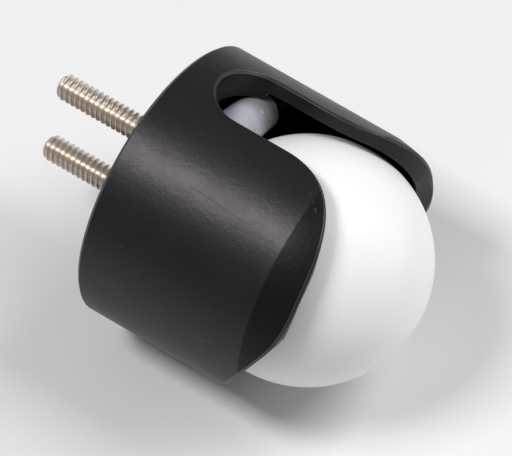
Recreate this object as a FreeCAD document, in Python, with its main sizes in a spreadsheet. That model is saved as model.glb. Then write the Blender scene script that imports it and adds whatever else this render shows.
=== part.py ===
import FreeCAD, Part
import math
import os
import re

import Sketcher
from FreeCAD import Placement, Rotation, Vector

# Ball castor: a cup with two hooked claws holds a ball, which rolls on three small
# rollers, and two screws through the cup's floor hold it under whatever it carries.
# Millimetres. The origin is the centre of the mounting face. Plus Z points out of that
# face along the screws, and plus X runs towards the window that shows the first roller.

doc = FreeCAD.newDocument("ball_castor")

# Every size that can be set by itself, with its meaning. Depths are measured down from
# the mounting face, and radii from the castor's axis.
SIZES = (
    ("cup_dia", 30.4, "outside diameter of the cup"),
    ("cup_wall", 1.7, "thickness of the cup's wall around the socket"),
    ("socket_gap", 0.8, "gap between the ball and the cup's wall"),
    ("cup_draft", 0.1, "how much smaller in radius the cup is at the start of its lip"),
    ("back_edge", 0.35, "chamfer on the outer edge of the mounting face"),
    ("floor_thick", 2.2, "thickness of the cup's floor"),
    ("ball_head_gap", 1.0, "gap between the ball and the screws' heads"),
    ("ledge_below_pin", 0.11, "how far the ledge lies below a roller's pin"),
    ("ledge_width", 2.9, "width of the ledge between the socket and the roller chamber"),
    ("claw_reach", 5.7, "how far the claws reach below the ball's middle"),
    ("claw_ball_gap", 0.54, "gap between the ball and the inner edge of a claw's tip"),
    ("lip_high", 3.8, "height of the band that leans inwards"),
    ("lip_inset", 0.7, "how far the outside has leaned in at the tips"),
    ("lip_crown_rad", 24.0, "radius of the curve of the leaning band"),
    ("tip_land", 0.45, "width of the flat outer part of a claw's tip"),
    ("tip_rise", 0.8, "how much the inner edge of a claw's tip stands back from its flat part"),
    ("tip_start", 68.0, "angle round the axis from the window's middle to a claw's tip"),
    ("tip_spread", 3.0, "angle round the axis that a claw's tip takes up"),
    ("window_width", 8.5, "width of the window between the claws"),
    ("window_reach", 0.14, "how far the window reaches past the roller, towards the floor"),
    ("back_cut_angle", 28.0, "slope of the slanted cut behind the claws, in degrees"),
    ("back_cut_rad", 13.0, "radius of the curve from the tips into the slanted cut"),
    ("claw_edge", 0.25, "chamfer on the outer edges of the window and the claws"),
    ("roller_dia", 4.5, "diameter of a roller at its middle"),
    ("roller_end_dia", 4.2, "diameter of a roller at its ends"),
    ("roller_len", 11.4, "length of a roller"),
    ("roller_edge", 0.3, "chamfer on a roller's ends"),
    ("roller_angle", 39.3, "angle of the rollers from the axis, seen from the ball's centre"),
    ("roller_ball_gap", 0.05, "gap between a roller and the ball"),
    ("roller_end_gap", 0.25, "gap at each end of a roller in its pocket"),
    ("roller_side_gap", 0.15, "gap between a roller and its pocket's outer wall"),
    ("roller_back_gap", 0.4, "gap behind a roller in its pocket"),
    ("pocket_flare", 0.6, "how far the mouth of a roller's pocket opens outwards"),
    ("pin_dia", 1.6, "diameter of a roller's steel pin"),
    ("pin_len", 16.6, "length of a roller's pin"),
    ("pin_chamfer", 0.2, "chamfer on a pin's ends"),
    ("pin_run_gap", 0.05, "gap in radius between a pin and its roller's bore"),
    ("pin_seat_gap", 0.02, "gap in radius between a pin and its groove"),
    ("pin_end_gap", 0.15, "gap at each end of a pin in its groove"),
    ("screw_spacing", 7.9, "distance between the two screws"),
    ("screw_dia", 2.84, "outside diameter of a screw's thread"),
    ("screw_neck_dia", 2.4, "diameter of a screw's plain neck, which is in the floor"),
    ("screw_len", 15.9, "length of a screw under its head"),
    ("screw_tip_chamfer", 0.45, "chamfer on a screw's tip"),
    ("screw_hole_gap", 0.1, "gap in radius between a screw and its hole"),
    ("screw_head_dia", 5.4, "diameter of a screw's head"),
    ("screw_head_high", 1.7, "height of a screw's head"),
    ("screw_head_side", 0.6, "height of the straight side of a screw's head"),
    ("screw_crown_rad", 3.0, "radius of the curve of a screw's head"),
    ("screw_flat_rad", 0.9, "radius of the flat top of a screw's head"),
    ("recess_width", 0.75, "width of each bar of the cross recess in a screw's head"),
    ("recess_span", 2.9, "length of each bar of the cross recess"),
    ("recess_depth", 1.0, "depth of the cross recess"),
    ("overshoot", 1.0, "how far the outline of a cut runs on outside the piece"),
)
ROLLERS = 3
# Two points closer than this are one point, and a cut that takes away less is a mistake.
NEAR = 1e-6
LEAST_CUT = 1e-3

sheet = doc.addObject("Spreadsheet::Sheet", "sizes")
for row, (alias, value, meaning) in enumerate(SIZES, start=1):
    sheet.set("A%d" % row, meaning)
    sheet.set("B%d" % row, str(value))
    sheet.setAlias("B%d" % row, alias)

# Lengths that several pieces share, worked out from the sizes above.
SHARED = (
    ("cup_rad", "cup_dia / 2"),
    ("socket_rad", "cup_rad - cup_wall"),
    ("ball_rad", "socket_rad - socket_gap"),
    ("ball_depth", "floor_thick + screw_head_high + ball_head_gap + ball_rad"),
    ("roller_rad", "roller_dia / 2"),
    ("roller_half", "roller_len / 2"),
    ("roller_bulge", "roller_rad - roller_end_dia / 2"),
    ("roller_crown_half", "roller_half - roller_edge"),
    ("roller_crown_rad", "(pow(roller_crown_half; 2) + pow(roller_bulge; 2)) / (2 * roller_bulge)"),
    ("roller_dist", "ball_rad + roller_rad + roller_ball_gap"),
    ("roller_out", "roller_dist * sin(roller_angle)"),
    ("roller_depth", "ball_depth - roller_dist * cos(roller_angle)"),
    ("pin_rad", "pin_dia / 2"),
    ("pin_groove_rad", "pin_rad + pin_seat_gap"),
    ("ledge_depth", "roller_depth + pin_rad + ledge_below_pin"),
    ("chamber_rad", "socket_rad - ledge_width"),
    ("pocket_out", "roller_out + roller_rad + roller_side_gap"),
    ("pocket_back", "roller_depth - roller_rad - roller_back_gap"),
    ("lip_depth", "ball_depth + claw_reach"),
    ("lip_start_depth", "lip_depth - lip_high"),
    ("lip_start_rad", "cup_rad - cup_draft"),
    ("lip_rad", "lip_start_rad - lip_inset"),
    ("tip_land_rad", "lip_rad - tip_land"),
    ("tip_inner_depth", "lip_depth - tip_rise"),
    ("tip_inner_reach", "claw_reach - tip_rise"),
    ("tip_inner_rad", "sqrt(pow(ball_rad + claw_ball_gap; 2) - pow(tip_inner_reach; 2))"),
    ("claw_hook", "socket_rad - tip_inner_rad"),
    ("claw_hook_rad", "(pow(claw_hook; 2) + pow(tip_inner_reach; 2)) / (2 * claw_hook)"),
    ("window_half", "window_width / 2"),
    ("window_top_depth", "roller_depth - roller_rad - window_reach"),
    ("claw_corner_rad", "lip_rad * sin(tip_start) - window_half"),
    ("claw_corner_depth", "lip_depth - claw_corner_rad"),
    ("back_cut_start", "lip_rad * cos(tip_start + tip_spread)"),
    ("back_turn_out", "back_cut_start - back_cut_rad * sin(back_cut_angle)"),
    ("back_turn_depth", "lip_depth - back_cut_rad * (1 - cos(back_cut_angle))"),
    ("back_cut_end", "cup_rad + overshoot"),
    ("screw_rad", "screw_dia / 2"),
    ("screw_neck_rad", "screw_neck_dia / 2"),
    ("screw_out", "screw_spacing / 2"),
)
for row, (alias, formula) in enumerate(SHARED, start=1):
    sheet.set("D%d" % row, "=" + formula)
    sheet.setAlias("D%d" % row, alias)
doc.recompute()


def value_of(formula):
    """The number that a formula in the sheet's names gives, in millimetres or degrees."""
    found = sheet.evalExpression(formula)
    return float(getattr(found, "Value", found))


def drive(item, prop, formula):
    """Binds a property to a formula, with the sheet's name set before its aliases."""
    item.setExpression(prop, re.sub(r"[a-z_]+", in_sheet, formula))


def in_sheet(word):
    found = word.group()
    return "sizes." + found if sheet.getCellFromAlias(found) else found


def new_body(name):
    body = doc.addObject("PartDesign::Body", name)
    body.Label = name
    return body


def new_sketch(body, name, role):
    """A sketch on one of the body's own origin planes."""
    sketch = body.newObject("Sketcher::SketchObject", name)
    plane = next(item for item in body.Origin.OriginFeatures if item.Role == role)
    sketch.AttachmentSupport = [(plane, "")]
    sketch.MapMode = "FlatFace"
    return sketch


def outline(sketch, corners):
    """Draws a closed outline and binds every corner of it to the sheet.

    A corner is (across, up) or (across, up, radius, turn): the second form makes the
    side that leaves it an arc, which bulges to the left (turn 1) or right (turn -1).
    """
    spots = [Vector(value_of(c[0]), value_of(c[1]), 0) for c in corners]
    count = len(corners)
    for index, corner in enumerate(corners):
        start, end = spots[index], spots[(index + 1) % count]
        if len(corner) == 2:
            sketch.addGeometry(Part.LineSegment(start, end))
            continue
        radius = value_of(corner[2])
        chord = end - start
        left = Vector(-chord.y, chord.x, 0).normalize()
        sag = radius - math.sqrt(max(radius ** 2 - (chord.Length / 2) ** 2, 0))
        middle = (start + end) / 2 + left * (sag * corner[3])
        if corner[3] > 0:
            start, end = end, start
        sketch.addGeometry(Part.ArcOfCircle(start, middle, end))
    add = sketch.addConstraint
    for index, corner in enumerate(corners):
        following = (index + 1) % count
        joins_end = end_point(sketch.Geometry[index], spots[following])
        joins_start = end_point(sketch.Geometry[following], spots[following])
        add(Sketcher.Constraint("Coincident", index, joins_end, following, joins_start))
        mine = end_point(sketch.Geometry[index], spots[index])
        for kind, axis, formula in (("DistanceX", -2, corner[0]), ("DistanceY", -1, corner[1])):
            if formula == "0":
                add(Sketcher.Constraint("PointOnObject", index, mine, axis))
                continue
            made = add(Sketcher.Constraint(kind, -1, 1, index, mine, value_of(formula)))
            drive(sketch, "Constraints[%d]" % made, formula)
        if len(corner) == 4:
            made = add(Sketcher.Constraint("Radius", index, value_of(corner[2])))
            drive(sketch, "Constraints[%d]" % made, corner[2])


def end_point(curve, spot):
    """1 if the curve starts at the spot, 2 if it ends there."""
    return 1 if curve.StartPoint.distanceToPoint(spot) < NEAR else 2


def revolve(body, name, corners):
    """A solid of revolution about Z from a half section in X and Z."""
    sketch = new_sketch(body, name + "_section", "XZ_Plane")
    outline(sketch, corners)
    turned = body.newObject("PartDesign::Revolution", name)
    turned.Profile = sketch
    turned.ReferenceAxis = (sketch, ["V_Axis"])
    turned.Angle = 360
    sketch.Visibility = False
    doc.recompute()
    return turned


def cut(body, name, role, corners, length, both_ways=True):
    """A pocket through the body, both ways from the plane or along its normal only."""
    before = body.Shape.Volume
    sketch = new_sketch(body, name + "_outline", role)
    outline(sketch, corners)
    pocket = body.newObject("PartDesign::Pocket", name)
    pocket.Profile = sketch
    pocket.Midplane = both_ways
    pocket.Reversed = not both_ways
    drive(pocket, "Length", length)
    doc.recompute()
    if not body.Shape.Volume < before - LEAST_CUT:
        raise RuntimeError(name + " removes nothing")
    return pocket


def bore(body, name, across, radius):
    """A round hole through the floor, from the mounting face down."""
    before = body.Shape.Volume
    sketch = new_sketch(body, name + "_circle", "XY_Plane")
    centre = Vector(value_of(across), 0, 0)
    sketch.addGeometry(Part.Circle(centre, Vector(0, 0, 1), value_of(radius)))
    sketch.addConstraint(Sketcher.Constraint("PointOnObject", 0, 3, -1))
    made = sketch.addConstraint(Sketcher.Constraint("DistanceX", -1, 1, 0, 3, centre.x))
    drive(sketch, "Constraints[%d]" % made, across)
    made = sketch.addConstraint(Sketcher.Constraint("Radius", 0, value_of(radius)))
    drive(sketch, "Constraints[%d]" % made, radius)
    pocket = body.newObject("PartDesign::Pocket", name)
    pocket.Profile = sketch
    drive(pocket, "Length", "floor_thick")
    doc.recompute()
    if not body.Shape.Volume < before - LEAST_CUT:
        raise RuntimeError(name + " removes nothing")
    return pocket


def is_skin(face):
    """True for the cup's turned outside: its side and its leaning band."""
    return isinstance(face.Surface, (Part.Cone, Part.Toroid, Part.SurfaceOfRevolution))


def skin_edges(shape):
    """The edges where a cut, or the tips' flat, meets the cup's outside."""
    names = []
    least_rad = value_of("(lip_rad + tip_land_rad) / 2")
    for number, edge in enumerate(shape.Edges, start=1):
        skins = [is_skin(face) for face in shape.ancestorsOfType(edge, Part.Face)]
        outside = all(math.hypot(spot.X, spot.Y) > least_rad for spot in edge.Vertexes)
        at_mounting_face = edge.BoundBox.ZMin > -NEAR
        if sorted(skins) == [False, True] and outside and not at_mounting_face:
            names.append("Edge%d" % number)
    return names


def make_housing():
    """The moulded cup: floor, roller chamber, socket, window and two hooked claws.

    Below the ball's middle the claws hook in under the ball, and their tips have a
    narrow flat outside and a slope inside.
    """
    body = new_body("housing")
    revolve(body, "cup", (
        ("0", "0"),
        ("cup_rad - back_edge", "0"),
        ("cup_rad", "-back_edge"),
        ("lip_start_rad", "-lip_start_depth", "lip_crown_rad", 1),
        ("lip_rad", "-lip_depth"),
        ("tip_land_rad", "-lip_depth"),
        ("tip_inner_rad", "-tip_inner_depth", "claw_hook_rad", -1),
        ("socket_rad", "-ball_depth"),
        ("socket_rad", "-ledge_depth"),
        ("chamber_rad", "-ledge_depth"),
        ("chamber_rad", "-floor_thick"),
        ("0", "-floor_thick"),
    ))
    # Each roller lies in a pocket of the chamber's wall, with a flared mouth, and its
    # pin drops into a groove that is open towards the ball.
    pocket = cut(body, "roller_pocket", "XZ_Plane", (
        ("0", "-ledge_depth"),
        ("0", "-pocket_back"),
        ("pocket_out", "-pocket_back"),
        ("pocket_out", "-ledge_depth + pocket_flare"),
        ("pocket_out + pocket_flare", "-ledge_depth"),
    ), "roller_len + 2 * roller_end_gap")
    groove = cut(body, "pin_groove", "XZ_Plane", (
        ("roller_out + pin_groove_rad", "-roller_depth", "pin_groove_rad", -1),
        ("roller_out", "-roller_depth + pin_groove_rad", "pin_groove_rad", -1),
        ("roller_out - pin_groove_rad", "-roller_depth"),
        ("roller_out - pin_groove_rad", "-ledge_depth"),
        ("roller_out + pin_groove_rad", "-ledge_depth"),
    ), "pin_len + 2 * pin_end_gap")
    spread = body.newObject("PartDesign::PolarPattern", "roller_places")
    spread.Originals = [pocket, groove]
    axis = next(item for item in body.Origin.OriginFeatures if item.Role == "Z_Axis")
    spread.Axis = (axis, [""])
    spread.Angle = 360
    spread.Occurrences = ROLLERS
    body.Tip = spread
    doc.recompute()
    # The window's straight sides run on into the rounded corners of the claws.
    cut(body, "window", "YZ_Plane", (
        ("window_half", "-window_top_depth - window_half", "window_half", -1),
        ("0", "-window_top_depth", "window_half", -1),
        ("-window_half", "-window_top_depth - window_half"),
        ("-window_half", "-claw_corner_depth", "claw_corner_rad", 1),
        ("-window_half - claw_corner_rad", "-lip_depth"),
        ("-window_half - claw_corner_rad", "-lip_depth - overshoot"),
        ("window_half + claw_corner_rad", "-lip_depth - overshoot"),
        ("window_half + claw_corner_rad", "-lip_depth", "claw_corner_rad", 1),
        ("window_half", "-claw_corner_depth"),
    ), "cup_rad + overshoot", both_ways=False)
    # Behind the claws the rim curves up into a slanted cut, which ends above the ball's
    # middle.
    cut(body, "back_cut", "XZ_Plane", (
        ("back_cut_start", "-lip_depth", "back_cut_rad", 1),
        ("back_turn_out", "-back_turn_depth"),
        ("-back_cut_end", "-back_turn_depth + (back_cut_end + back_turn_out) * tan(back_cut_angle)"),
        ("-back_cut_end", "-lip_depth - overshoot"),
        ("back_cut_start", "-lip_depth - overshoot"),
    ), "cup_dia + 2 * overshoot")
    for name, side in (("screw_hole_1", 1), ("screw_hole_2", -1)):
        bore(body, name, "%d * screw_out" % side, "screw_rad + screw_hole_gap")
    sharp = body.Tip
    eased = body.newObject("PartDesign::Chamfer", "eased_edges")
    eased.Base = (sharp, skin_edges(sharp.Shape))
    drive(eased, "Size", "claw_edge")
    body.Tip = eased
    doc.recompute()
    return body


def place(item, turn, across, depth, roll=0):
    """Stands an item at a distance from the axis, turned about it, at a depth.

    The roll tips the item's own axis over, so that 90 lays it along the tangent.
    """
    item.Placement = Placement(Vector(), Rotation(Vector(0, 0, 1), turn)
                               * Rotation(Vector(1, 0, 0), roll))
    drive(item, ".Placement.Base.x", "(%s) * cos(%s)" % (across, turn))
    drive(item, ".Placement.Base.y", "(%s) * sin(%s)" % (across, turn))
    drive(item, ".Placement.Base.z", "-(%s)" % depth)


def make_ball():
    ball = doc.addObject("Part::Sphere", "ball")
    ball.Label = "ball"
    drive(ball, "Radius", "ball_rad")
    place(ball, 0, "0 * ball_rad", "ball_depth")
    return ball


def make_roller(number, turn):
    """A roller: a slightly crowned tube with chamfered ends, laid along the tangent."""
    body = new_body("roller_%d" % number)
    revolve(body, "crowned_tube_%d" % number, (
        ("pin_rad + pin_run_gap", "-roller_half"),
        ("roller_end_dia / 2 - roller_edge", "-roller_half"),
        ("roller_end_dia / 2", "-roller_half + roller_edge", "roller_crown_rad", -1),
        ("roller_end_dia / 2", "roller_half - roller_edge"),
        ("roller_end_dia / 2 - roller_edge", "roller_half"),
        ("pin_rad + pin_run_gap", "roller_half"),
    ))
    place(body, turn, "roller_out", "roller_depth", roll=90)
    return body


def make_roller_pin(number, turn):
    body = new_body("roller_pin_%d" % number)
    revolve(body, "dowel_%d" % number, (
        ("0", "-pin_len / 2"),
        ("pin_rad - pin_chamfer", "-pin_len / 2"),
        ("pin_rad", "-pin_len / 2 + pin_chamfer"),
        ("pin_rad", "pin_len / 2 - pin_chamfer"),
        ("pin_rad - pin_chamfer", "pin_len / 2"),
        ("0", "pin_len / 2"),
    ))
    place(body, turn, "roller_out", "roller_depth", roll=90)
    return body


def make_mount_screw(number, side):
    """A pan head screw, tip upwards: its head bears on the inside of the floor.

    Its plain neck lies in the floor, and its thread starts at the mounting face.
    """
    body = new_body("mount_screw_%d" % number)
    revolve(body, "screw_%d" % number, (
        ("0", "-screw_head_high"),
        ("screw_flat_rad", "-screw_head_high", "screw_crown_rad", -1),
        ("screw_head_dia / 2", "-screw_head_side"),
        ("screw_head_dia / 2", "0"),
        ("screw_neck_rad", "0"),
        ("screw_neck_rad", "floor_thick"),
        ("screw_rad", "floor_thick"),
        ("screw_rad", "screw_len - screw_tip_chamfer"),
        ("screw_rad - screw_tip_chamfer", "screw_len"),
        ("0", "screw_len"),
    ))
    for bar, role in (("recess_a_%d", "XZ_Plane"), ("recess_b_%d", "YZ_Plane")):
        cut(body, bar % number, role, (
            ("-recess_span / 2", "-screw_head_high - overshoot"),
            ("recess_span / 2", "-screw_head_high - overshoot"),
            ("recess_span / 2 - recess_depth / 2", "-screw_head_high + recess_depth"),
            ("-recess_span / 2 + recess_depth / 2", "-screw_head_high + recess_depth"),
        ), "recess_width")
    place(body, 0, "%d * screw_out" % side, "floor_thick")
    return body


def check(parts):
    """Stops unless every object was worked out and every piece is one sound solid."""
    for item in doc.Objects:
        if "Invalid" in item.State or "Error" in item.State:
            raise RuntimeError(item.Name + " failed")
    for part in parts:
        shape = part.Shape
        if shape.isNull() or not shape.isValid() or len(shape.Solids) != 1:
            raise RuntimeError(part.Label + " is not a sound solid")


parts = [make_housing(), make_ball()]
for number in range(1, ROLLERS + 1):
    turn = (number - 1) * 360 // ROLLERS
    parts.append(make_roller(number, turn))
    parts.append(make_roller_pin(number, turn))
parts += [make_mount_screw(1, 1), make_mount_screw(2, -1)]
doc.recompute()
check(parts)

os.makedirs("parts", exist_ok=True)
for part in parts:
    part.Shape.exportStep("parts/%s.step" % part.Label)
    print("%-16s volume %9.2f mm3" % (part.Label, part.Shape.Volume))
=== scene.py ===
import math

import bmesh
import bpy
from mathutils import Matrix, Vector

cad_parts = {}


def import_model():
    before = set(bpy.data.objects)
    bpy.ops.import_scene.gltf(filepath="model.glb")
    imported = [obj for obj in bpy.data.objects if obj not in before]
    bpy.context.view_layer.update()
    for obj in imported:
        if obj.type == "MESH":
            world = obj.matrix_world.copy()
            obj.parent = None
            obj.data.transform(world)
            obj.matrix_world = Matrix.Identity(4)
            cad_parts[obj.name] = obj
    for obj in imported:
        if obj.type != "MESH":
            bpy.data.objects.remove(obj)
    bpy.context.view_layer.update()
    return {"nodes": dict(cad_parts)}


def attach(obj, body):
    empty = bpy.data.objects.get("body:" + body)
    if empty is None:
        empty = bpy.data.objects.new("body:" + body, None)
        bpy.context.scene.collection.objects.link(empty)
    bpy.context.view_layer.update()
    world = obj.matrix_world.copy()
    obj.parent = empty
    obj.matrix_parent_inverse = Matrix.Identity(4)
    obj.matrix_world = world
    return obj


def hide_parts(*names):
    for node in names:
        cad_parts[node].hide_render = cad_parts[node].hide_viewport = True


# Ball castor. Metres, in the frame of the solids: the origin is the centre of the mounting
# face, plus Z points out of it along the screws, and plus X towards the window.

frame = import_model()

MM = 0.001

CUP_RADIUS = 15.2 * MM
LIP_START = -19.5 * MM
LIP_BLEND = 0.08 * MM

SCREW_RADIUS = 1.42 * MM
NECK_RADIUS = 1.2 * MM
SCREW_OUT = 3.95 * MM
SCREW_TOP = 13.7 * MM
TIP_CHAMFER = 0.45 * MM
HEAD_SEAT = -2.2 * MM
HEAD_RADIUS = 2.7 * MM
HEAD_FLAT = 0.9 * MM
HEAD_HEIGHT = 1.7 * MM
HEAD_SIDE = 0.6 * MM
HEAD_RINGS = 26
SEAT_EDGE = 0.05 * MM
RECESS_HALF_WIDTH = 0.38 * MM
RECESS_HALF_SPAN = 1.45 * MM
RECESS_DEPTH = 1.0 * MM
RECESS_SLOPE = 0.12 * MM
THREAD_START = -0.2 * MM
THREAD_PITCH = 0.635 * MM
THREAD_DEPTH = 0.37 * MM
# Half a pitch of the rolled thread, from a rounded crest to a rounded root: how far along
# the pitch, and what share of the depth is cut there.
HALF_THREAD = ((0, 0), (0.05, 0.03), (0.1, 0.12), (0.16, 0.3), (0.25, 0.57), (0.34, 0.82),
               (0.39, 0.92), (0.44, 0.98), (0.5, 1))
THREAD_SECTION = HALF_THREAD + tuple((1 - along, cut) for along, cut in HALF_THREAD[-2:0:-1])
SPOKES = 64
SAME_POINT = 0.0001 * MM

# Every two faces of a made mesh that meet at more than this are drawn with a sharp edge.
SHARP_ANGLE = math.radians(40)

# The camera stands where the photograph's stood, and is rolled as it was.
AIM = Vector((1.40, -1.34, -11.80)) * MM
VIEW_AZIMUTH = math.radians(39.87)
VIEW_ELEVATION = math.radians(-18.35)
VIEW_ROLL = math.radians(60.1)
VIEW_DISTANCE = 414.1 * MM
LENS = 291.2
SENSOR_WIDTH = 36

# The castor lies on its side on the floor, which touches the cup opposite the camera.
FLOOR_NORMAL = Vector((0.931, -0.365, 0)).normalized()
FLOOR_GAP = 0.05 * MM
FLOOR_HALF = 400 * MM
FLOOR_FADE = (0.5, 0.95)  # shares of FLOOR_HALF between which it fades out
FLOOR_COLOUR = 0.77

# The even light from all round: what surfaces receive, and what is seen and mirrored.
AMBIENT = 0.19
BACKDROP = 0.46

# Each lamp's name, direction, distance, width and height in metres, and power in watts.
LAMPS = (
    ("key", (0.683, -0.660, 0.315), 0.5, 0.11, 0.17, 1.5),
    ("main", (0.91, 0.09, -0.40), 0.6, 0.3, 0.3, 2.08),
    ("side", (0.35, 0.50, -0.79), 0.6, 0.4, 0.4, 1.0),
)

# The cup's plastic: how much it mirrors, less on the lip's band, and how rough it is there.
CUP_BLACK = (0.002, 0.0032)
# CUP_PALE is the pale colour of the cup's wear, specks and scratches, and of the painted
# highlight along its edges.
CUP_PALE = 0.16
CUP_TINT = (1.0, 0.94, 0.99, 1)
CUP_SHINE = 0.335
LIP_SHINE = 0.17
CUP_ROUGHNESS = (0.35, 0.43)
BACK_ROUGHER = 0.4
EDGE_RADIUS = 0.12 * MM
MOTTLE_DEPTH = 0.022 * MM
GRAIN_DEPTH = 0.006 * MM
SCRATCH_DEPTH = 0.007 * MM

BALL_WHITE = (0.80, 0.84)
BALL_SHINE = 0.26
BALL_ROUGHNESS = (0.38, 0.46)

# The rollers' plastic: its colour, the grey of the painted shade towards the rollers' ends, in
# place of the shadow of the cup's wall, and where that shade starts and is full, measured along
# the roller from its middle.
ROLLER_MILKY = (0.43, 0.46)
ROLLER_TINT = (0.94, 0.95, 1.06)
ROLLER_PAINTED_SHADE = 0.18
PAINTED_SHADE_SHARE = 0.85
PAINTED_SHADE_START = 1.7 * MM
PAINTED_SHADE_FULL = 3.2 * MM
ROLLER_ROUGHNESS = (0.24, 0.32)
ROLLER_SHINE = 0.5

# Scratches and specks on the cup, in millimetres: both ends, width, and how pale they are.
MARKS = (
    ((10.06, -11.31, -8.2), (10.09, -11.28, -9.7), 0.04, 0.02),
    ((10.09, -11.28, -9.7), (9.75, -11.53, -14.7), 0.04, 0.02),
    ((13.08, -7.52, -19.5), (12.98, -7.67, -19.65), 0.05, 0.3),
    ((12.76, -7.93, -20.1), (12.55, -8.17, -20.4), 0.06, 0.4),
    ((12.16, -8.34, -21.5), (11.95, -8.52, -21.7), 0.15, 0.02),
    ((-3.17, -14.77, -14.4), (-3.30, -14.74, -15.3), 0.08, 0.3),
    ((-3.30, -14.74, -15.3), (-3.01, -14.80, -16.1), 0.08, 0.3),
    ((-7.21, -13.31, -9.1), (-7.15, -13.34, -9.2), 0.14, 0.6),
    ((14.55, 4.34, -2.9), (14.56, 4.30, -3.0), 0.14, 0.6),
)

# A painted highlight, a small pale spot on the first roller: both ends, in millimetres.
PAINTED_HIGHLIGHT_SPOT = ((11.27, 2.90, -7.29), (11.27, 2.96, -7.29))
PAINTED_HIGHLIGHT_RADIUS = 0.3 * MM
PAINTED_HIGHLIGHT_COLOUR = 0.62
PAINTED_HIGHLIGHT_SHARE = 0.6


def toward(azimuth, elevation):
    """The direction from the object to a viewer at an azimuth and an elevation."""
    level = math.cos(elevation)
    return Vector((math.sin(azimuth) * level, -math.cos(azimuth) * level, math.sin(elevation)))


def turned(view, up):
    """The rotation of a camera or lamp that looks along view with up upwards."""
    right = view.cross(up).normalized()
    up = right.cross(view).normalized()
    return Matrix((right, up, -view)).transposed().to_quaternion()


class Nodes:
    """A material's node tree, with one short call for each kind of node."""

    def __init__(self, name):
        self.material = bpy.data.materials.new(name)
        self.material.use_nodes = True
        self.tree = self.material.node_tree
        self.tree.nodes.clear()
        self.output = self.tree.nodes.new("ShaderNodeOutputMaterial")

    def add(self, kind, inputs=None, **settings):
        node = self.tree.nodes.new("ShaderNode" + kind)
        for key, value in settings.items():
            setattr(node, key, value)
        for key, value in (inputs or {}).items():
            self.put(node.inputs[key], value)
        return node

    def put(self, socket, value):
        if isinstance(value, bpy.types.NodeSocket):
            self.tree.links.new(value, socket)
        else:
            socket.default_value = value

    def math(self, operation, first, second=0.0, clamp=False):
        node = self.add("Math", {0: first, 1: second}, operation=operation, use_clamp=clamp)
        return node.outputs[0]

    def vector(self, operation, first, second=(0, 0, 0)):
        """A vector, or a number where the operation is a length or a dot product."""
        node = self.add("VectorMath", {0: first}, operation=operation)
        self.put(node.inputs["Scale" if operation == "SCALE" else 1], second)
        gives_number = operation in ("LENGTH", "DOT_PRODUCT")
        return node.outputs["Value" if gives_number else "Vector"]

    def position(self, scale=(1, 1, 1)):
        """Object coordinates in metres, stretched by a scale for each axis."""
        coordinates = self.add("TexCoord").outputs["Object"]
        mapping = self.add("Mapping", {"Vector": coordinates, "Scale": scale})
        return mapping.outputs["Vector"]

    def noise(self, size, detail=3.0, scale=(1, 1, 1), roughness=0.5):
        """Noise with features of about one size, in metres, from 0 to 1."""
        node = self.add("TexNoise", {"Vector": self.position(scale), "Scale": 1 / size,
                                     "Detail": detail, "Roughness": roughness})
        return node.outputs["Fac"]

    def dust(self, spacing, radius):
        """1 in the middle of tiny scattered specks, and 0 from one radius away."""
        node = self.add("TexVoronoi", {"Vector": self.position(), "Scale": 1 / spacing})
        return self.ramp(node.outputs["Distance"], 1.0, 0.0, 0.0, radius / spacing)

    def near_line(self, start, end, width):
        """1 on the line between two points, and 0 from one width away."""
        along = end - start
        offset = self.vector("SUBTRACT", self.position(), start)
        share = self.math("DIVIDE", self.vector("DOT_PRODUCT", offset, along),
                          along.length_squared, clamp=True)
        foot = self.vector("SCALE", along, share)
        gap = self.vector("LENGTH", self.vector("SUBTRACT", offset, foot))
        return self.ramp(gap, 1.0, 0.0, 0.0, width)

    def ramp(self, value, low, high, from_low=0.0, from_high=1.0):
        node = self.add("MapRange", {"Value": value, "From Min": from_low, "From Max": from_high,
                                     "To Min": low, "To Max": high})
        return node.outputs["Result"]

    def mix(self, share, first, second):
        node = self.add("Mix", data_type="RGBA")
        self.put(node.inputs["Factor"], share)
        self.put(node.inputs["A"], first)
        self.put(node.inputs["B"], second)
        return node.outputs["Result"]

    def bump(self, height, distance, strength=1.0, normal=None):
        node = self.add("Bump", {"Height": height, "Distance": distance, "Strength": strength})
        if normal is not None:
            self.put(node.inputs["Normal"], normal)
        return node.outputs["Normal"]

    def finish(self, shader):
        self.tree.links.new(shader.outputs[0], self.output.inputs["Surface"])
        return self.material


def grey(level, tint=(1, 1, 1)):
    return (level * tint[0], level * tint[1], level * tint[2], 1)


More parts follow.
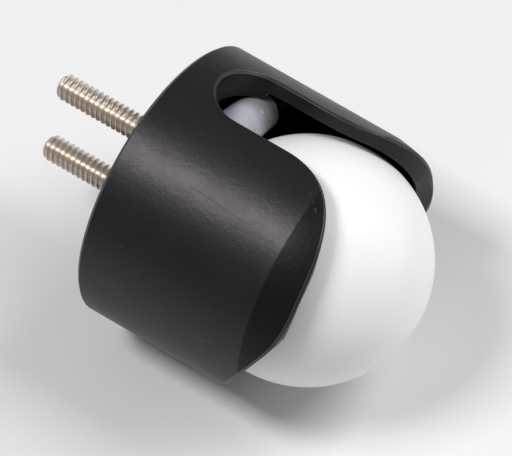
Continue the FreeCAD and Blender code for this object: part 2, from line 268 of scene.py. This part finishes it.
def cup_plastic():
    """Black moulded plastic: a mottled satin sheen, pale edges that are partly wear and partly a
    painted highlight, scratches and specks.
    """
    nodes = Nodes("cup_plastic")
    cloud = nodes.noise(4 * MM, detail=4)
    mottle = nodes.noise(0.6 * MM, detail=4, roughness=0.6)
    grain = nodes.noise(0.18 * MM, detail=2)

    rounded = nodes.add("Bevel", {"Radius": EDGE_RADIUS}, samples=6).outputs["Normal"]
    normal = nodes.add("NewGeometry").outputs["Normal"]
    bend = nodes.math("SUBTRACT", 1.0, nodes.vector("DOT_PRODUCT", rounded, normal))
    # Edges are painted pale, partly as wear and partly as a painted highlight along the rounded
    # edges.
    worn_edge_and_painted_highlight = nodes.math("MULTIPLY", nodes.ramp(bend, 0.0, 1.0, 0.005, 0.05),
                      nodes.ramp(cloud, 0.25, 1.0, 0.4, 0.65))
    pale_marks_and_painted_highlight = nodes.math("MAXIMUM", worn_edge_and_painted_highlight, nodes.dust(1.3 * MM, 0.07 * MM))
    scratched = 0.0
    for start, end, width, strength in MARKS:
        line = nodes.near_line(Vector(start) * MM, Vector(end) * MM, width * MM)
        scratched = nodes.math("MAXIMUM", line, scratched)
        pale_marks_and_painted_highlight = nodes.math("MAXIMUM", pale_marks_and_painted_highlight, nodes.math("MULTIPLY", line, strength))

    black = nodes.mix(cloud, grey(CUP_BLACK[0]), grey(CUP_BLACK[1], (1.0, 0.98, 1.02)))
    colour = nodes.mix(pale_marks_and_painted_highlight, black, grey(CUP_PALE, (1.0, 0.97, 0.98)))
    satin = nodes.ramp(nodes.math("ADD", cloud, nodes.math("MULTIPLY", mottle, 0.5)),
                       CUP_ROUGHNESS[0], CUP_ROUGHNESS[1], 0.4, 1.1)
    height = nodes.vector("DOT_PRODUCT", nodes.position(), (0, 0, 1))
    outward = nodes.vector("NORMALIZE", nodes.position((1, 1, 0)))
    on_skin = nodes.ramp(nodes.vector("DOT_PRODUCT", normal, outward), 0.0, 1.0, 0.6, 0.8)
    on_lip = nodes.ramp(height, 1.0, 0.0, LIP_START - LIP_BLEND, LIP_START + LIP_BLEND)
    shine = nodes.ramp(nodes.math("MULTIPLY", on_lip, on_skin), CUP_SHINE, LIP_SHINE)
    on_back = nodes.ramp(nodes.vector("DOT_PRODUCT", normal, (0, 0, 1)),
                         0.0, BACK_ROUGHER, 0.8, 1.0)
    rough = nodes.math("ADD", satin, on_back)
    waved = nodes.bump(mottle, MOTTLE_DEPTH, 1.0, rounded)
    grained = nodes.bump(grain, GRAIN_DEPTH, 1.0, waved)
    unscratched = nodes.math("SUBTRACT", 1.0, scratched)
    skin = nodes.bump(unscratched, SCRATCH_DEPTH, 1.0, grained)
    shader = nodes.add("BsdfPrincipled", {"Base Color": colour, "Roughness": rough,
                                          "Specular IOR Level": shine,
                                          "Specular Tint": CUP_TINT,
                                          "Normal": skin})
    return nodes.finish(shader)


def ball_plastic():
    """Polished white plastic, very slightly uneven in its colour and its gloss."""
    nodes = Nodes("ball_plastic")
    cloud = nodes.noise(5 * MM, detail=3)
    grain = nodes.noise(0.25 * MM, detail=2)
    white = nodes.mix(cloud, grey(BALL_WHITE[0], (0.985, 0.985, 1.0)), grey(BALL_WHITE[1]))
    specks = nodes.math("MULTIPLY", nodes.dust(2.5 * MM, 0.06 * MM), 0.5)
    colour = nodes.mix(specks, white, grey(0.45, (1.0, 0.95, 0.9)))
    rough = nodes.ramp(cloud, *BALL_ROUGHNESS)
    normal = nodes.bump(grain, 0.003 * MM, 0.25)
    shader = nodes.add("BsdfPrincipled", {"Base Color": colour, "Roughness": rough,
                                          "Specular IOR Level": BALL_SHINE, "Normal": normal})
    return nodes.finish(shader)


def roller_plastic(number, turn):
    """Milky plastic that light soaks into a little way, with painted shade towards the roller's
    ends and a painted highlight spot on the first roller.
    """
    nodes = Nodes("roller_plastic_%d" % number)
    cloud = nodes.noise(1.5 * MM, detail=3)
    rings = nodes.noise(0.08 * MM, detail=1)
    tangent = (-math.sin(turn), math.cos(turn), 0)
    along = nodes.math("ABSOLUTE", nodes.vector("DOT_PRODUCT", nodes.position(), tangent))
    milky = nodes.mix(cloud, grey(ROLLER_MILKY[0], ROLLER_TINT),
                      grey(ROLLER_MILKY[1], ROLLER_TINT))
    # Painted shade: the colour greys towards both ends of each roller, in place of the shadow of
    # the cup's wall.
    painted_shade = nodes.ramp(along, 0.0, PAINTED_SHADE_SHARE, PAINTED_SHADE_START, PAINTED_SHADE_FULL)
    with_painted_shade = nodes.mix(painted_shade, milky, grey(ROLLER_PAINTED_SHADE, (1.0, 0.98, 1.02)))
    # A painted highlight: a small pale spot on the first roller.
    painted_highlight = nodes.near_line(Vector(PAINTED_HIGHLIGHT_SPOT[0]) * MM, Vector(PAINTED_HIGHLIGHT_SPOT[1]) * MM, PAINTED_HIGHLIGHT_RADIUS)
    colour = nodes.mix(nodes.math("MULTIPLY", painted_highlight, PAINTED_HIGHLIGHT_SHARE), with_painted_shade, grey(PAINTED_HIGHLIGHT_COLOUR))
    rough = nodes.ramp(cloud, *ROLLER_ROUGHNESS)
    normal = nodes.bump(rings, 0.002 * MM, 0.3)
    shader = nodes.add("BsdfPrincipled", {"Base Color": colour, "Roughness": rough,
                                          "Subsurface Weight": 0.35, "Subsurface Scale": 0.0012,
                                          "Subsurface Radius": (1.0, 0.95, 0.9),
                                          "Specular IOR Level": ROLLER_SHINE, "Normal": normal})
    return nodes.finish(shader)


def steel(name, level, tint, rough_low, rough_high):
    """Bright steel, a little uneven, with fine marks from machining."""
    nodes = Nodes(name)
    cloud = nodes.noise(1.2 * MM, detail=4)
    lines = nodes.noise(0.05 * MM, detail=2, scale=(1, 1, 3))
    colour = nodes.mix(cloud, grey(level * 0.88, tint), grey(level, tint))
    rough = nodes.ramp(nodes.math("ADD", cloud, lines), rough_low, rough_high, 0.6, 1.4)
    normal = nodes.bump(lines, 0.002 * MM, 0.3)
    shader = nodes.add("BsdfPrincipled", {"Base Color": colour, "Metallic": 1.0,
                                          "Roughness": rough, "Normal": normal})
    return nodes.finish(shader)


def dress(names, material):
    """Gives the nodes of the frame their material."""
    for name in names:
        item = frame["nodes"][name]
        item.data.materials.clear()
        item.data.materials.append(material)


def mesh_object(name, points, faces, material, smooth_angle=SHARP_ANGLE):
    """An object from points and faces, with points that lie on each other joined."""
    mesh = bpy.data.meshes.new(name)
    mesh.from_pydata(points, [], faces)
    shape = bmesh.new()
    shape.from_mesh(mesh)
    bmesh.ops.remove_doubles(shape, verts=shape.verts, dist=SAME_POINT)
    bmesh.ops.recalc_face_normals(shape, faces=shape.faces)
    shape.to_mesh(mesh)
    shape.free()
    mesh.validate()
    mesh.update()
    item = bpy.data.objects.new(name, mesh)
    bpy.context.scene.collection.objects.link(item)
    item.data.materials.append(material)
    mesh.shade_smooth()
    mesh.set_sharp_from_angle(angle=smooth_angle)
    return item


def recess_cut(across, along):
    """How deep the head's cross recess is at a point, as a share of its depth."""
    depth = 0.0
    for narrow, wide in ((abs(across), abs(along)), (abs(along), abs(across))):
        if narrow < RECESS_HALF_WIDTH and wide < RECESS_HALF_SPAN:
            wall = min((RECESS_HALF_WIDTH - narrow) / RECESS_SLOPE, 1.0)
            depth = max(depth, wall * (1 - wide / RECESS_HALF_SPAN / 2))
    return depth


def head_profile(radius):
    """Height of the head's top over its seat, at a distance from the screw's axis."""
    if radius <= HEAD_FLAT:
        return HEAD_HEIGHT
    share = (radius - HEAD_FLAT) / (HEAD_RADIUS - HEAD_FLAT)
    return HEAD_HEIGHT - (HEAD_HEIGHT - HEAD_SIDE) * share ** 2


def head_rings():
    """Radius and height of each ring, from the middle of the head's top to the neck."""
    rings = []
    for ring in range(HEAD_RINGS + 1):
        radius = HEAD_RADIUS * ring / HEAD_RINGS
        rings.append((radius, HEAD_SEAT - head_profile(radius)))
    rings.append((HEAD_RADIUS, HEAD_SEAT - SEAT_EDGE))
    rings.append((HEAD_RADIUS - SEAT_EDGE, HEAD_SEAT))
    rings.append((NECK_RADIUS, HEAD_SEAT))
    return rings


def thread_rows():
    """Radius of each row of the thread, and its height at the first spoke.

    The rows climb one pitch in a turn, so that each follows an edge of the thread.
    """
    turns = math.ceil((SCREW_TOP - THREAD_START) / THREAD_PITCH) + 2
    rows = []
    for turn in range(turns):
        for share, depth in THREAD_SECTION:
            height = THREAD_START + (turn - 1 + share) * THREAD_PITCH
            rows.append((SCREW_RADIUS - THREAD_DEPTH * depth, height))
    return rows


def thread_spot(radius, height):
    """A point of the thread, cut off at the neck and at the tip's chamfer."""
    if height <= THREAD_START:
        return NECK_RADIUS, THREAD_START
    height = min(height, SCREW_TOP)
    return min(radius, SCREW_RADIUS - TIP_CHAMFER + SCREW_TOP - height), height


def screw(name, side, material):
    """A pan head screw, head down inside the cup and its thread standing out of the back."""
    centre = Vector((side * SCREW_OUT, 0, 0))
    spokes = [(math.cos(2 * math.pi * spoke / SPOKES), math.sin(2 * math.pi * spoke / SPOKES))
              for spoke in range(SPOKES)]
    points = []
    rings = head_rings()
    for index, (radius, height) in enumerate(rings):
        for x, y in spokes:
            on_top = index <= HEAD_RINGS
            sunk = recess_cut(radius * x, radius * y) * RECESS_DEPTH if on_top else 0
            points.append(centre + Vector((radius * x, radius * y, height + sunk)))
    rows = thread_rows()
    for row_radius, row_height in rows:
        for spoke, (x, y) in enumerate(spokes):
            climb = THREAD_PITCH * spoke / SPOKES
            radius, height = thread_spot(row_radius, row_height + climb)
            points.append(centre + Vector((radius * x, radius * y, height)))

    faces = []
    turn_rows = len(THREAD_SECTION)
    for ring in range(len(rings) + len(rows) - 1):
        in_thread = ring >= len(rings)
        for spoke in range(SPOKES):
            low, high = ring * SPOKES, (ring + 1) * SPOKES
            following = spoke + 1
            if following == SPOKES:
                following = turn_rows * SPOKES if in_thread else 0
            if high + following < len(points):
                faces.append((low + spoke, low + following, high + following, high + spoke))
    last = len(points) - SPOKES
    faces.append(tuple(last + spoke for spoke in range(SPOKES)))

    item = mesh_object(name, points, faces, material)
    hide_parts("mount_screw_" + name[-1])
    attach(item, "cup")
    return item


def floor():
    """A pale floor, drawn only from its front, that fades out round the object."""
    nodes = Nodes("floor")
    shade = nodes.add("BsdfDiffuse", {"Color": grey(FLOOR_COLOUR)})
    clear = nodes.add("BsdfTransparent")
    behind = nodes.add("NewGeometry").outputs["Backfacing"]
    distance = nodes.vector("LENGTH", nodes.position())
    faded = nodes.ramp(distance, 0.0, 1.0, FLOOR_HALF * FLOOR_FADE[0],
                       FLOOR_HALF * FLOOR_FADE[1])
    share = nodes.math("MAXIMUM", behind, faded)
    mixed = nodes.add("MixShader", {0: share, 1: shade.outputs[0], 2: clear.outputs[0]})
    material = nodes.finish(mixed)

    across = Vector((0, 0, 1))
    along = across.cross(FLOOR_NORMAL).normalized()
    corners = [across * (FLOOR_HALF * a) + along * (FLOOR_HALF * b)
               for a, b in ((-1, -1), (-1, 1), (1, 1), (1, -1))]
    item = mesh_object("floor", corners, [(0, 1, 2, 3)], material)
    if item.data.polygons[0].normal.dot(FLOOR_NORMAL) < 0:
        item.data.flip_normals()
    item.location = -FLOOR_NORMAL * (CUP_RADIUS + FLOOR_GAP) + Vector((0, 0, AIM.z))


def camera():
    data = bpy.data.cameras.new("camera")
    data.lens = LENS
    data.sensor_width = SENSOR_WIDTH
    item = bpy.data.objects.new("camera", data)
    bpy.context.scene.collection.objects.link(item)
    outward = toward(VIEW_AZIMUTH, VIEW_ELEVATION)
    view = -outward
    right = view.cross(Vector((0, 0, 1))).normalized()
    level_up = right.cross(view)
    up = level_up * math.cos(VIEW_ROLL) + right * math.sin(VIEW_ROLL)
    item.rotation_mode = "QUATERNION"
    item.rotation_quaternion = turned(view, up)
    item.location = AIM + outward * VIEW_DISTANCE
    bpy.context.scene.camera = item
    return item


def softbox(name, direction, distance, width, height, power):
    """A soft rectangular lamp, turned to the object, and not seen itself."""
    data = bpy.data.lights.new(name, "AREA")
    data.shape = "RECTANGLE"
    data.size = width
    data.size_y = height
    data.energy = power
    item = bpy.data.objects.new(name, data)
    bpy.context.scene.collection.objects.link(item)
    outward = Vector(direction).normalized()
    item.location = AIM + outward * distance
    item.rotation_mode = "QUATERNION"
    item.rotation_quaternion = turned(-outward, Vector((0, 0, 1)))
    item.visible_camera = False
    return item


def world():
    """An even light on the object, and what the camera and the gloss see behind it."""
    scene = bpy.context.scene
    scene.world = bpy.data.worlds.new("studio")
    scene.world.use_nodes = True
    tree = scene.world.node_tree
    tree.nodes.clear()
    output = tree.nodes.new("ShaderNodeOutputWorld")
    background = tree.nodes.new("ShaderNodeBackground")
    path = tree.nodes.new("ShaderNodeLightPath")
    seen = path.outputs["Is Camera Ray"]
    for kind in ("Is Glossy Ray", "Is Transmission Ray"):
        either = tree.nodes.new("ShaderNodeMath")
        either.operation = "MAXIMUM"
        tree.links.new(seen, either.inputs[0])
        tree.links.new(path.outputs[kind], either.inputs[1])
        seen = either.outputs[0]
    strength = tree.nodes.new("ShaderNodeMapRange")
    strength.inputs["To Min"].default_value = AMBIENT
    strength.inputs["To Max"].default_value = BACKDROP
    tree.links.new(seen, strength.inputs["Value"])
    tree.links.new(strength.outputs["Result"], background.inputs["Strength"])
    background.inputs["Color"].default_value = (1, 1, 1, 1)
    tree.links.new(background.outputs[0], output.inputs["Surface"])
    scene.view_settings.view_transform = "Standard"


dress(["housing"], cup_plastic())
dress(["ball"], ball_plastic())
for number, degrees in ((1, 0), (2, 120), (3, 240)):
    dress(["roller_%d" % number], roller_plastic(number, math.radians(degrees)))
pin_steel = steel("pin_steel", 0.62, (1, 1, 1), 0.18, 0.3)
dress(["roller_pin_1", "roller_pin_2", "roller_pin_3"], pin_steel)
screw_steel = steel("screw_steel", 0.68, (1.0, 0.89, 0.79), 0.28, 0.36)
screw("threaded_screw_1", 1, screw_steel)
screw("threaded_screw_2", -1, screw_steel)

floor()
camera()
world()
for lamp in LAMPS:
    softbox(*lamp)
